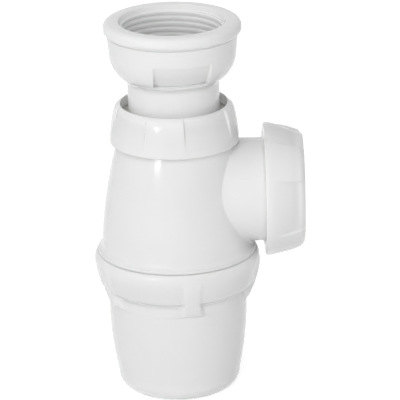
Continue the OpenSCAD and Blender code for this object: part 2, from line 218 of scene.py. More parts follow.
class TRAP_PG_settings(bpy.types.PropertyGroup):
    """Everything that can be set."""

    threads: PointerProperty(type=TRAP_PG_threads)
    grips: PointerProperty(type=TRAP_PG_grips)
    mesh: PointerProperty(type=TRAP_PG_mesh)
    finishes: PointerProperty(type=TRAP_PG_finishes)
    stage: PointerProperty(type=TRAP_PG_stage)
    show_floor: BoolProperty(name="Floor", description="Make the floor", default=True)


def settings():
    return bpy.context.scene.bottle_trap


# Node trees are written as Python sums

class Wire:
    """A socket that takes part in sums: each operator adds one Math node."""

    def __init__(self, graph, socket):
        self.graph, self.socket = graph, socket

    def math(self, operation, *values, clamp=False):
        return self.graph.add("ShaderNodeMath", {"operation": operation, "use_clamp": clamp},
                              dict(enumerate(values)))

    def __add__(self, other):
        return self.math("ADD", self, other)

    def __radd__(self, other):
        return self.math("ADD", other, self)

    def __sub__(self, other):
        return self.math("SUBTRACT", self, other)

    def __rsub__(self, other):
        return self.math("SUBTRACT", other, self)

    def __mul__(self, other):
        return self.math("MULTIPLY", self, other)

    def __rmul__(self, other):
        return self.math("MULTIPLY", other, self)

    def __truediv__(self, other):
        return self.math("DIVIDE", self, other)

    def __rtruediv__(self, other):
        return self.math("DIVIDE", other, self)

    def __neg__(self):
        return self.math("MULTIPLY", self, -1.0)

    def __abs__(self):
        return self.math("ABSOLUTE", self)

    def fraction(self):
        return self.math("FRACT", self)

    def wrap(self, low, high):
        return self.math("WRAP", self, high, low)

    def whole(self):
        return self.math("ROUND", self)

    def cosine(self):
        return self.math("COSINE", self)

    def sine(self):
        return self.math("SINE", self)

    def arcsine(self):
        return self.math("ARCSINE", self)

    def smooth(self, low, high, from_value=0.0, to_value=1.0):
        """Goes smoothly from one value at low to the other at high."""
        return self.graph.add("ShaderNodeMapRange", {"interpolation_type": "SMOOTHSTEP"},
                              {0: self, 1: low, 2: high, 3: from_value, 4: to_value})


class Graph:
    """Adds nodes to a tree."""

    def __init__(self, tree):
        self.tree = tree

    def add(self, kind, options=None, inputs=None, out=0):
        """A node of this kind: its settings are set first, then its sockets' values or links."""
        node = self.tree.nodes.new(kind)
        for key, value in (options or {}).items():
            if key == "stops":
                ramp = node.color_ramp
                while len(ramp.elements) > len(value):
                    ramp.elements.remove(ramp.elements[-1])
                while len(ramp.elements) < len(value):
                    ramp.elements.new(1.0)
                for element, (place, tint) in zip(ramp.elements, value):
                    element.position, element.color = place, (*tint, 1.0)
            else:
                setattr(node, key, value)
        for key, value in (inputs or {}).items():
            socket = node.inputs[key]
            if isinstance(value, Wire):
                self.tree.links.new(value.socket, socket)
            elif value is not None:
                socket.default_value = value
        return Wire(self, node.outputs[out]) if node.outputs else node

    def split(self, vector):
        """The three parts of a vector."""
        node = self.add("ShaderNodeSeparateXYZ", None, {0: vector}).socket.node
        return [Wire(self, socket) for socket in node.outputs]

    def join(self, x, y, z):
        return self.add("ShaderNodeCombineXYZ", None, {0: x, 1: y, 2: z})

    def blend(self, factor, a, b, kind="RGBA"):
        """A colour or a vector between a and b."""
        first = {"RGBA": 6, "VECTOR": 4}[kind]
        return self.add("ShaderNodeMix", {"data_type": kind}, {0: factor, first: a, first + 1: b},
                        out={"RGBA": 2, "VECTOR": 1}[kind])


def named_inputs(tree, rows):
    """Gives a geometry tree its named inputs and returns their wires by name."""
    tree.interface.new_socket("Geometry", in_out="INPUT", socket_type="NodeSocketGeometry")
    for name, kind in rows:
        tree.interface.new_socket(name, in_out="INPUT", socket_type=kind)
    tree.interface.new_socket("Geometry", in_out="OUTPUT", socket_type="NodeSocketGeometry")
    node = tree.nodes.new("NodeGroupInput")
    graph = Graph(tree)
    return graph, {socket.name: Wire(graph, socket) for socket in node.outputs if socket.name}


def close_tree(graph, geometry, material):
    """Ends a geometry tree in Realize Instances and Set Material."""
    real = graph.add("GeometryNodeRealizeInstances", None, {"Geometry": geometry})
    dressed = graph.add("GeometryNodeSetMaterial", None, {"Geometry": real, "Material": material})
    output = graph.tree.nodes.new("NodeGroupOutput")
    graph.tree.links.new(dressed.socket, output.inputs[0])


def turned_tree():
    """Geometry nodes that turn an outline into a moulding with grip hollows and a thread.

    The mesh that goes in is the outline: points at (radius, 0, height) in metres. The attribute
    carved holds each point's place inside a hollow, spread how much wider than its angle the
    hollow is there, thread the depth of the thread, and pitch its rise in one turn. A hollow's
    sides point at the axis, or with Straight sides at 1 lie along the hollow's middle.
    """
    tree = bpy.data.node_groups.new("Turned moulding", "GeometryNodeTree")
    graph, given = named_inputs(tree, [
        ("Columns", "NodeSocketInt"), ("Hollows", "NodeSocketInt"),
        ("Hollow angle", "NodeSocketFloat"), ("First hollow", "NodeSocketFloat"),
        ("Flank", "NodeSocketFloat"), ("Straight sides", "NodeSocketFloat"),
        ("Crest", "NodeSocketFloat"), ("Material", "NodeSocketMaterial")])
    outline, columns = given["Geometry"], given["Columns"]
    rows = graph.add("GeometryNodeAttributeDomainSize", {"component": "MESH"}, {0: outline})
    grid = graph.add("GeometryNodeMeshGrid", None, {
        "Size X": 1.0, "Size Y": 1.0, "Vertices X": columns + 1, "Vertices Y": rows})
    across, along, _ = graph.split(graph.add("GeometryNodeInputPosition"))
    column = ((across + 0.5) * columns).whole()
    row = ((along + 0.5) * (rows - 1)).whole()

    def of_outline(value, kind):
        return graph.add("GeometryNodeSampleIndex", {"data_type": kind, "domain": "POINT"},
                         {"Geometry": outline, "Value": value, "Index": row})

    def attribute(name, kind):
        return graph.add("GeometryNodeInputNamedAttribute", {"data_type": kind}, {"Name": name})

    plain = of_outline(graph.add("GeometryNodeInputPosition"), "FLOAT_VECTOR")
    carved = of_outline(attribute("carved", "FLOAT_VECTOR"), "FLOAT_VECTOR")
    spread = of_outline(attribute("spread", "FLOAT"), "FLOAT")
    depth = of_outline(attribute("thread", "FLOAT"), "FLOAT")
    pitch = of_outline(attribute("pitch", "FLOAT"), "FLOAT")

    turns = column / columns
    angle = turns * tau
    spacing = tau / given["Hollows"]
    even = (angle - given["First hollow"]).wrap(spacing * -0.5, spacing * 0.5)
    half, flank = given["Hollow angle"] * 0.5, given["Flank"] * 0.5
    inside = abs(even).smooth(half - flank, half + flank, 1.0, 0.0)
    off = even * (1.0 + (spread - 1.0) * abs(even).smooth(half + flank, spacing * 0.5, 1.0, 0.0))
    radius, _, height = graph.split(graph.blend(inside, plain, carved, "VECTOR"))
    aside = (graph.split(plain)[0] * off.sine() / radius).arcsine() - off
    angle = angle + off - even + aside * given["Straight sides"]

    ridge = abs((height / pitch - turns).fraction() - 0.5)
    edge = given["Crest"] * 0.5
    radius = radius + depth * ridge.smooth(edge - 0.2, edge, 1.0, 0.0)
    place = graph.join(radius * angle.cosine(), radius * angle.sine(), height)
    turned = graph.add("GeometryNodeSetPosition", None, {"Geometry": grid, "Position": place})
    merged = graph.add("GeometryNodeMergeByDistance", None, {"Geometry": turned, "Distance": 1e-6})
    close_tree(graph, merged, given["Material"])
    return tree


# Outlines

def rounded(corners, hold=0.12):
    """Points of an outline whose corners are rounded: each corner is (r, z) or (r, z, radius)."""
    points, last = [], len(corners)
    for i, corner in enumerate(corners):
        here = np.array(corner[:2], float)
        round_r = corner[2] if len(corner) > 2 else 0.0
        if not round_r:
            points.append(here)
            continue
        before = np.array(corners[i - 1][:2], float) - here
        after = np.array(corners[(i + 1) % last][:2], float) - here
        room = 0.48 * min(np.linalg.norm(before), np.linalg.norm(after))
        before, after = before / np.linalg.norm(before), after / np.linalg.norm(after)
        half = np.arccos(np.clip(before @ after, -1, 1)) / 2
        reach = min(round_r / tan(half), room)
        round_r = reach * tan(half)
        middle = before + after
        centre = here + middle / np.linalg.norm(middle) * round_r / sin(half)
        start, end = here + before * reach - centre, here + after * reach - centre
        a0, a1 = np.arctan2(start[1], start[0]), np.arctan2(end[1], end[0])
        sweep = (a1 - a0 + pi) % tau - pi
        step = 12.0 if round_r > 0.8 else 24.0 if round_r > 0.26 else 45.0
        steps = max(2, int(np.ceil(abs(np.degrees(sweep)) / step)))
        if reach + hold < room:
            points.append(here + before * (reach + hold))
        for k in range(steps + 1):
            a = a0 + sweep * k / steps
            points.append(centre + round_r * np.array([cos(a), sin(a)]))
        if reach + hold < room:
            points.append(here + after * (reach + hold))
    return points


def arc(centre, radius, a0, a1, steps=8):
    """Points on an arc, with its angles in degrees."""
    return [(centre[0] + radius * cos(a), centre[1] + radius * sin(a))
            for a in np.radians(np.linspace(a0, a1, steps + 1))]


def bow(p, q, bulge, steps=16, t0=0.0, t1=1.0):
    """Points on a shallow curve from p to q that stands out by bulge at its middle."""
    return [(p[0] + (q[0] - p[0]) * t + 4 * bulge * t * (1 - t), p[1] + (q[1] - p[1]) * t)
            for t in np.linspace(t0, t1, steps + 1)]


def flowing(points, steps=5):
    """A smooth curve through the points."""
    p = [np.array(q, float) for q in points]
    p = [2 * p[0] - p[1]] + p + [2 * p[-1] - p[-2]]
    curve = []
    for a, b, c, d in zip(p, p[1:], p[2:], p[3:]):
        for t in np.arange(steps) / steps:
            curve.append(0.5 * (2 * b + (c - a) * t + (2 * a - 5 * b + 4 * c - d) * t * t
                                + (3 * b - a - 3 * c + d) * t ** 3))
    return curve + [p[-2]]


def between(p, q, shares):
    """Points given as shares of the way from p to q, across and up."""
    return [(p[0] + (q[0] - p[0]) * s, p[1] + (q[1] - p[1]) * t) for s, t in shares]


def finer(points, low, high, step, inner=0.0, outer=1000.0):
    """Adds points where the outline runs between two heights and between two radii."""
    result = [points[0]]
    for p, q in zip(points, points[1:]):
        p, q = np.array(p, float), np.array(q, float)
        in_band = min(p[1], q[1]) < high and max(p[1], q[1]) > low
        if in_band and min(p[0], q[0]) >= inner and max(p[0], q[0]) <= outer:
            steps = max(1, int(np.ceil(hypot(*(q - p)) / step)))
            result += [p + (q - p) * k / steps for k in range(1, steps)]
        result.append(q)
    return result


class Thread:
    """A thread on part of an outline: its heights, the face's radius, its depth and its pitch."""

    def __init__(self, low, high, face, depth, pitch):
        self.low, self.high, self.face = low, high, face
        self.depth, self.pitch = depth, pitch

    def at(self, r, z):
        """The depth here, which dies away over the first and last half turn."""
        if abs(r - self.face) > 0.02 or not self.low <= z <= self.high:
            return 0.0
        run = self.pitch * 0.5
        return self.depth * min(1.0, (z - self.low) / run, (self.high - z) / run)


def smoother(x):
    x = min(1.0, max(0.0, x))
    return x * x * (3 - 2 * x)


# Meshes and pieces

def into_place(mesh, matrix=None):
    """Turns a mesh into its place and points its faces outwards."""
    work = bmesh.new()
    work.from_mesh(mesh)
    bmesh.ops.remove_doubles(work, verts=work.verts, dist=1e-7)
    bmesh.ops.recalc_face_normals(work, faces=work.faces)
    if matrix is not None:
        work.transform(matrix)
    work.to_mesh(mesh)
    work.free()
    mesh.shade_smooth()
    mesh.set_sharp_from_angle(angle=settings().mesh.sharp)
    return mesh


def evaluated(item, name):
    """The plain mesh of an object with its modifiers, which are then gone, in one finish."""
    graph = bpy.context.evaluated_depsgraph_get()
    mesh = bpy.data.meshes.new_from_object(item.evaluated_get(graph))
    mesh.name = name
    item.modifiers.clear()
    finish = next((m for m in mesh.materials if m), None)
    mesh.materials.clear()
    if finish:
        mesh.materials.append(finish)
    mesh.polygons.foreach_set("material_index", [0] * len(mesh.polygons))
    return mesh


def show(name, mesh):
    item = bpy.data.objects.new(name, mesh)
    bpy.context.scene.collection.objects.link(item)
    return item


def run_tree(item, tree, values):
    """Adds a geometry tree to an object, with its inputs set by name."""
    modifier = item.modifiers.new(tree.name, "NODES")
    modifier.node_group = tree
    for socket in tree.interface.items_tree:
        if socket.in_out == "INPUT" and socket.name in values:
            modifier[socket.identifier] = values[socket.name]


def tree_named(name, make):
    return bpy.data.node_groups.get(name) or make()


def turned(name, points, material, columns, hollow=None, carve=None, spread=None, straight=0.0,
           flank=None, threads=(), closed=True, matrix=None):
    """A moulding turned from an outline in millimetres.

    hollow is (number, angle, first). At (r, z), carve gives the radius that a hollow leaves and
    spread how much wider than its angle the hollow is.
    """
    points = [tuple(p) for p in points]
    if closed:
        points.append(points[0])
    places = [(r * MM, 0.0, z * MM) for r, z in points]
    mesh = bpy.data.meshes.new(name)
    mesh.from_pydata(places, [(i, i + 1) for i in range(len(places) - 1)], [])
    inside = [(carve(r, z) if carve else r, 0.0, z) for r, z in points]
    carved = mesh.attributes.new("carved", "FLOAT_VECTOR", "POINT")
    carved.data.foreach_set("vector", np.array(inside, float).ravel() * MM)
    spreads = [spread(r, z) if spread else 1.0 for r, z in points]
    depths, pitches = [], []
    for r, z in points:
        here = max(threads, key=lambda t: abs(t.at(r, z)), default=None)
        depths.append(here.at(r, z) * MM if here else 0.0)
        pitches.append(here.pitch * MM if here else MM)
    for label, row in (("spread", spreads), ("thread", depths), ("pitch", pitches)):
        mesh.attributes.new(label, "FLOAT", "POINT").data.foreach_set("value", row)
    item = show(name, mesh)
    number, angle, first = hollow or (1, 0.0, 0.0)
    run_tree(item, tree_named("Turned moulding", turned_tree), {
        "Columns": columns, "Hollows": number, "Hollow angle": angle, "First hollow": first,
        "Flank": flank or settings().grips.flank, "Straight sides": straight,
        "Crest": settings().threads.crest, "Material": material})
    item.data = into_place(evaluated(item, name), matrix)
    bpy.data.meshes.remove(mesh)
    return item


def combined(item, tool, operation):
    """Cuts a tool out of a piece, or adds it, and removes the tool."""
    modifier = item.modifiers.new("Join", "BOOLEAN")
    modifier.operation, modifier.solver, modifier.object = operation, "MANIFOLD", tool
    old = item.data
    item.data = evaluated(item, old.name)
    bpy.data.meshes.remove(old)
    spare = tool.data
    bpy.data.objects.remove(tool)
    bpy.data.meshes.remove(spare)


def settle(item, node, body, slot):
    """The piece stands for a frame node and rides on its body. The slot is not used."""
    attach(item, body)
    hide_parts(node)


def along_outlet():
    """From a fitting's own place to the outlet's nut."""
    return (Matrix.Translation((OUTLET_REACH * MM, 0.0, OUTLET_HEIGHT * MM))
            @ Matrix.Rotation(pi / 2, 4, "Y"))


def raised(height):
    return Matrix.Translation((0.0, 0.0, height * MM))


# Finishes

def new_finish(name):
    material = bpy.data.materials.new(name)
    material.use_nodes = True
    material.node_tree.nodes.clear()
    return material, Graph(material.node_tree)


def finish_ends(graph, shader):
    output = graph.tree.nodes.new("ShaderNodeOutputMaterial")
    graph.tree.links.new(shader.socket, output.inputs[0])


def noise(graph, place, scale, detail=2.0):
    return graph.add("ShaderNodeTexNoise", None,
                     {"Vector": place, "Scale": scale, "Detail": detail, "Roughness": 0.55})


def moulded_plastic(name, tint, roughness, parting=None):
    """Moulded plastic with a faint cloud in the resin and the skin of a polished mould."""
    found = bpy.data.materials.get(name)
    if found:
        return found
    material, graph = new_finish(name)
    place = graph.add("ShaderNodeTexCoord", out="Object")
    cloud = noise(graph, place, 24.0)
    skin = noise(graph, place, 260.0)
    paler = tuple(min(1.0, c * 1.015) for c in tint) + (1.0,)
    deeper = tuple(c * 0.985 for c in tint) + (1.0,)
    height = cloud * 0.6 + skin * 0.02
    if parting:
        x, y, _ = graph.split(place)
        line_at = radians(-89.6)
        off = abs(x * sin(line_at) - y * cos(line_at))
        height = height + off.smooth(0.0, parting, 0.2, 0.0)
    bump = graph.add("ShaderNodeBump", None,
                     {"Strength": 0.3, "Distance": 0.0002, "Height": height})
    shader = graph.add("ShaderNodeBsdfPrincipled", None, {
        "Base Color": graph.blend(cloud, deeper, paler),
        "Roughness": (cloud - 0.5) * 0.03 + (skin - 0.5) * 0.015 + roughness,
        "IOR": 1.49, "Subsurface Weight": 0.35, "Subsurface Radius": (1.0, 1.0, 1.0),
        "Subsurface Scale": 0.004, "Normal": bump})
    finish_ends(graph, shader)
    return material


def rubber(name, tint):
    """Matt black rubber with a dusty bloom."""
    found = bpy.data.materials.get(name)
    if found:
        return found
    material, graph = new_finish(name)
    place = graph.add("ShaderNodeTexCoord", out="Object")
    bloom, grain = noise(graph, place, 130.0, 4.0), noise(graph, place, 1500.0)
    dusty = tuple(c * 2.2 + 0.006 for c in tint) + (1.0,)
    shader = graph.add("ShaderNodeBsdfPrincipled", None, {
        "Base Color": graph.blend(bloom.smooth(0.45, 0.75), (*tint, 1.0), dusty),
        "Roughness": bloom * 0.2 + 0.58, "IOR": 1.52,
        "Normal": graph.add("ShaderNodeBump", None, {
            "Strength": 0.4, "Distance": 0.0001, "Height": bloom * 0.5 + grain * 0.5})})
    finish_ends(graph, shader)
    return material


def body_plastic():
    look = settings().finishes
    return moulded_plastic("White moulded plastic", look.body, look.gloss, look.parting)


def cup_plastic():
    look = settings().finishes
    return moulded_plastic("White cup plastic", look.cup, look.gloss)


def nut_plastic():
    look = settings().finishes
    return moulded_plastic("White nut plastic", look.nut, look.gloss)


def ring_plastic():
    look = settings().finishes
    return moulded_plastic("Slip ring plastic", look.ring, look.matte)


def seal_rubber():
    return rubber("Seal rubber", settings().finishes.rubber)


# The body

def bell_outline():
    """The body's outer face, from the flange's edge up to the shoulder."""
    cove = [(BELL_RADIUS + (FLANGE_RADIUS - BELL_RADIUS) * (1 - sin(a)),
             COVE_FOOT + (BELL_FOOT - COVE_FOOT) * (1 - cos(a)))
            for a in np.radians(np.linspace(0, 90, 10))]
    bell = bow((BELL_RADIUS, BELL_FOOT), (SHOULDER_RADIUS, SHOULDER), 1.0, 30)
    return cove, bell


def body_outline():
    threads = settings().threads
    cove, bell = bell_outline()
    root = NECK_RADIUS + 0.15 - threads.depth / MM
    skirt_root = SKIRT_RADIUS + 0.15 - threads.depth / MM
    wall = 2.4
    skirt_bore = SKIRT_RADIUS - 3.0
    inner = [(r - wall, z) for r, z in bow(
        (BELL_RADIUS, BELL_FOOT), (SHOULDER_RADIUS, SHOULDER), 1.0, 20, 0.0, 6 / 7)]
    inner_top = inner[-1][1] + (SHOULDER - inner[-1][1]) / 3
    corners = (
        [(skirt_bore, SKIRT_EDGE, 0.4), (skirt_root, SKIRT_EDGE, 0.5),
         (skirt_root, FLANGE_FOOT - 0.9), (skirt_root + 0.3, FLANGE_FOOT, 0.0),
         (FLANGE_RADIUS, FLANGE_FOOT, 0.3), (FLANGE_RADIUS, COVE_FOOT, 0.3)]
        + cove[1:] + bell[1:-1]
        + [(SHOULDER_RADIUS, SHOULDER, 0.3), (root, SHOULDER, 0.2),
           (root, NECK_EDGE, 0.35), (SEAT_RADIUS, NECK_EDGE, 0.25),
           (SEAT_LOW_RADIUS, NECK_EDGE - SEAT_DEPTH, 0.0),
           (GUIDE_RADIUS, NECK_EDGE - SEAT_DEPTH, 0.0), (GUIDE_RADIUS, inner_top, 0.3)]
        + inner[::-1]
        + [(skirt_bore, BELL_FOOT - 2.9, 0.5)])
    points = rounded(corners)
    points = finer(points, SHOULDER + 0.2, NECK_EDGE - 0.3, 0.28, root - 0.01, root + 0.01)
    points = finer(points, SKIRT_EDGE + 0.4, FLANGE_FOOT - 0.9, 0.34, skirt_root - 0.01,
                   skirt_root + 0.01)
    depth, pitch = threads.depth / MM, threads.fitting_pitch / MM
    return points, [
        Thread(NUT_FOOT - 0.2, NECK_EDGE - 0.35, root, depth, pitch),
        Thread(SKIRT_EDGE + 0.5, FLANGE_FOOT - 1.0, skirt_root, depth, threads.cup_pitch / MM)]


def stub_mesh(name):
    """The outlet's stub as a solid rod whose root flares into the bell's face."""
    cove, bell = bell_outline()
    outer = sorted(cove + bell, key=lambda p: p[1])
    heights, radii = [p[1] for p in outer], [p[0] for p in outer]
    heights.append(SHOULDER + 3)
    radii.append(SHOULDER_RADIUS)

    def face(rho, a):
        """How far out the bell's face is, at this place across the outlet's axis."""
        y, z = rho * sin(a), OUTLET_HEIGHT + rho * cos(a)
        return sqrt(max(np.interp(z, heights, radii) ** 2 - y * y, 1.0))

    threads = settings().threads
    root = NECK_RADIUS + 0.15 - threads.depth / MM
    columns = settings().mesh.plain_columns // 2
    neck = OUTLET_REACH
    sunk = 1.1
    grid = []
    for column in range(columns):
        a = tau * column / columns
        fillet = 0.5 + 0.8 * min(1.0, 1 - cos(a))
        rho_c = STUB_RADIUS + fillet
        slope = (face(rho_c + 0.05, a) - face(rho_c - 0.05, a)) / 0.1
        scale = sqrt(1 + slope * slope)
        x_c = face(rho_c, a) + fillet * scale
        n = np.array([1.0, -slope]) / scale
        line = [(face(rho, a) - sunk, rho) for rho in (4.0, 9.0, 14.0, 17.0, 19.0)]
        low = np.array([x_c, rho_c]) - fillet * n
        line += [tuple(low - n * 1.2), tuple(low - n * 0.25)]
        a0, a1 = np.arctan2(-n[1], -n[0]), -pi / 2
        sweep = (a1 - a0 + pi) % tau - pi
        for k in range(9):
            b = a0 + sweep * k / 8
            line.append((x_c + fillet * cos(b), rho_c + fillet * sin(b)))
        end = neck + NECK_LENGTH
        line += [(line[-1][0] + 0.15, STUB_RADIUS), (neck - 1.6, STUB_RADIUS)]
        line += [(neck - 1.3 * (1 - sin(b)), STUB_RADIUS + 1.3 * (1 - cos(b)))
                 for b in np.radians(np.linspace(4, 84, 7))]
        line += [(neck + 0.1, NECK_RADIUS - 0.2), (neck + 0.2, NECK_RADIUS - 0.05)]
        steps = int((NECK_LENGTH - 1.1) / 0.2)
        for k in range(steps + 1):
            x = neck + 0.6 + (NECK_LENGTH - 1.1) * k / steps
            turns = (x - neck) / (threads.fitting_pitch / MM) - a / tau
            off = abs(turns % 1.0 - 0.5)
            edge = threads.crest / 2
            fade = min(1.0, k / 6, (steps - k) / 6)
            ridge = 1 - smoother((off - edge + 0.2) / 0.2)
            line.append((x, root + threads.depth / MM * ridge * fade))
        line += [(end - 0.3, root - 0.03), (end - 0.12, root - 0.12), (end, root - 0.35),
                 (end, 20.0), (end, 12.0), (end, 4.0)]
        grid.append([(x, rho * sin(a), OUTLET_HEIGHT + rho * cos(a)) for x, rho in line])
    rows = len(grid[0])
    places = [tuple(c * MM for c in p) for line in grid for p in line]
    faces = []
    for c in range(columns):
        d = (c + 1) % columns
        faces += [(c * rows + r, c * rows + r + 1, d * rows + r + 1, d * rows + r)
                  for r in range(rows - 1)]
    for r in (0, rows - 1):
        faces.append([c * rows + r for c in range(columns)])
    mesh = bpy.data.meshes.new(name)
    mesh.from_pydata(places, [], faces)
    return into_place(mesh)


def outlet_tool(material):
    """The outlet's bores as one solid, from inside the chamber to past the neck's edge."""
    edge = NECK_LENGTH
    points = rounded([
        (0.0, 13 - OUTLET_REACH), (WATERWAY, 13 - OUTLET_REACH), (WATERWAY, -3.6, 0.2),
        (PIPE_GUIDE, -3.6, 0.2), (PIPE_GUIDE, edge - SEAT_DEPTH, 0.25),
        (SEAT_LOW_RADIUS, edge - SEAT_DEPTH, 0.2), (SEAT_RADIUS - 0.1, edge - 0.1, 0.1),
        (SEAT_RADIUS + 0.3, edge + 0.2), (SEAT_RADIUS + 0.3, edge + 2), (0.0, edge + 2)])
    return turned("outlet_tool", points, material, settings().mesh.plain_columns // 2,
                  closed=False, matrix=along_outlet())


class TRAP_OT_body(bpy.types.Operator):
    """Make the body with its bell, necks, skirt and outlet"""

    bl_idname = "bottle_trap.body"
    bl_label = "Body"

    def execute(self, context):
        material = body_plastic()
        points, threads = body_outline()
        body = turned("body_moulding", points, material, settings().mesh.plain_columns,
                      threads=threads)
        stub = stub_mesh("stub")
        stub.materials.append(material)
        combined(body, show("stub", stub), "UNION")
        combined(body, outlet_tool(material), "DIFFERENCE")
        body.data.shade_smooth()
        body.data.set_sharp_from_angle(angle=settings().mesh.sharp)
        settle(body, "trap_body", "body", "white_plastic")
        return {"FINISHED"}


# The cup

def cup_wall(steps):
    """The wall's outer curve from its corner up to the collar."""
    r, z = CUP_CORNER
    return bow((r + z, z), (CUP_RADIUS, COLLAR_FOOT), 1.2, steps)


def cup_curves():
    """The wall's outer curve from the corner up, and the collar's curve above it."""
    wall = cup_wall(14)
    collar = flowing([wall[-2]] + between(
        (CUP_RADIUS, COLLAR_FOOT), (COLLAR_RADIUS, CUP_RIM),
        [(0.01, -0.12), (0.06, -0.06), (0.2, -0.01), (0.42, 0.045), (0.62, 0.12), (0.77, 0.29), (0.9, 0.51),
         (0.985, 0.68), (1, 0.79)]), 4)
    return wall[:-2], collar


def rib_face():
    """Heights and radii of a rib's face, from its foot up to where it sinks into the collar."""
    foot = CUP_RIM - 19.3
    points = flowing([
        (CUP_RADIUS - 0.4, foot - 0.1), (CUP_RADIUS + 0.85, foot + 0.3),
        (CUP_RADIUS + 1.5, foot + 0.9), (CUP_RADIUS + 2.35, foot + 2.4),
        (CUP_RADIUS + 3.3, foot + 4.7), (CUP_RADIUS + 4.1, foot + 6.8),
        (CUP_RADIUS + 4.72, foot + 9.0), (COLLAR_RADIUS + 0.05, foot + 12.2),
        (COLLAR_RADIUS + 0.25, foot + 14.0), (COLLAR_RADIUS + 0.2, foot + 15.7),
        (COLLAR_RADIUS - 0.3, foot + 17.2)], 3)
    return [z for _, z in points], [r for r, _ in points]


class TRAP_OT_cup(bpy.types.Operator):
    """Make the screw-off cup with its grip ribs"""

    bl_idname = "bottle_trap.cup"
    bl_label = "Cup"

    def execute(self, context):
        chosen, material = settings(), cup_plastic()
        wall, collar = cup_curves()
        inner = [(r - CUP_WALL, z) for r, z in cup_wall(10)]
        corner_r, corner_z = CUP_CORNER
        corner = arc(CUP_CORNER, corner_z, -90, 0, 9)
        inner_r = corner_z - CUP_WALL
        inner_corner = arc((corner_r, CUP_FLOOR + inner_r), inner_r, 0, -90, 6)
        rim = [(COLLAR_RADIUS - 1.5 * (1 - cos(a)), CUP_RIM - 2.9 * (1 - sin(a)))
               for a in np.radians(np.linspace(9, 82, 9))]
        depth, pitch = chosen.threads.depth / MM - 0.05, chosen.threads.cup_pitch / MM
        corners = (
            [(0.0, 0.35), (14.2, 0.35, 0.4), (14.6, 0.0, 0.3)] + corner + wall[1:] + collar + rim
            + [(COLLAR_RADIUS - 2.2, CUP_RIM), (COLLAR_BORE, CUP_RIM, 0.5),
               (COLLAR_BORE, LEDGE, 0.2), (CUP_RADIUS - CUP_WALL, LEDGE, 0.35)]
            + inner[::-1] + inner_corner[1:] + [(0.0, CUP_FLOOR)])
        points = finer(rounded(corners), LEDGE + 0.3, CUP_RIM - 0.6, 0.34, COLLAR_BORE - 0.01,
                       COLLAR_BORE + 0.01)
        points = finer(points, CUP_RIM - 19.8, CUP_RIM - 18.0, 0.25, CUP_RADIUS - 0.5)
        points = finer(points, CUP_RIM - 18.0, COLLAR_FOOT, 0.6, CUP_RADIUS - 0.5)
        points = [p for i, p in enumerate(points) if not i or hypot(*(p - points[i - 1])) > 1e-4]
        grips, (heights, faces) = chosen.grips, rib_face()
        width, flare = grips.rib_width / MM / 2, grips.rib_flare / MM
        half_angle = asin(width / COLLAR_RADIUS)

        def outside(r, z):
            """Whether this is a place on the cup's outer face, beside a rib."""
            skin = np.interp(z, [LEDGE - 1.5, LEDGE - 0.3], [CUP_RADIUS - 0.6, COLLAR_BORE + 0.5])
            return heights[0] < z < heights[-1] and r > skin

        def raise_rib(r, z):
            return max(r, float(np.interp(z, heights, faces))) if outside(r, z) else r

        def spread(r, z):
            """A rib is wider towards the cup's wall, half way between its face and its root."""
            if not outside(r, z):
                return 1.0
            middle = (r + raise_rib(r, z)) / 2
            part = (middle - CUP_RADIUS) / (COLLAR_RADIUS - CUP_RADIUS)
            return asin((width + flare * max(0.0, 1 - 2 * part)) / r) / half_angle

        cup = turned("cup_moulding", points, material, chosen.mesh.plain_columns, closed=False,
                     hollow=(grips.ribs, 2 * half_angle, grips.rib_first), carve=raise_rib,
                     spread=spread, straight=1.0, flank=grips.rib_flank,
                     threads=[Thread(LEDGE + 0.9, CUP_RIM - 0.7, COLLAR_BORE, depth, pitch)])
        settle(cup, "bottle_cup", "cup", "cup_plastic")
        return {"FINISHED"}


# The inlet

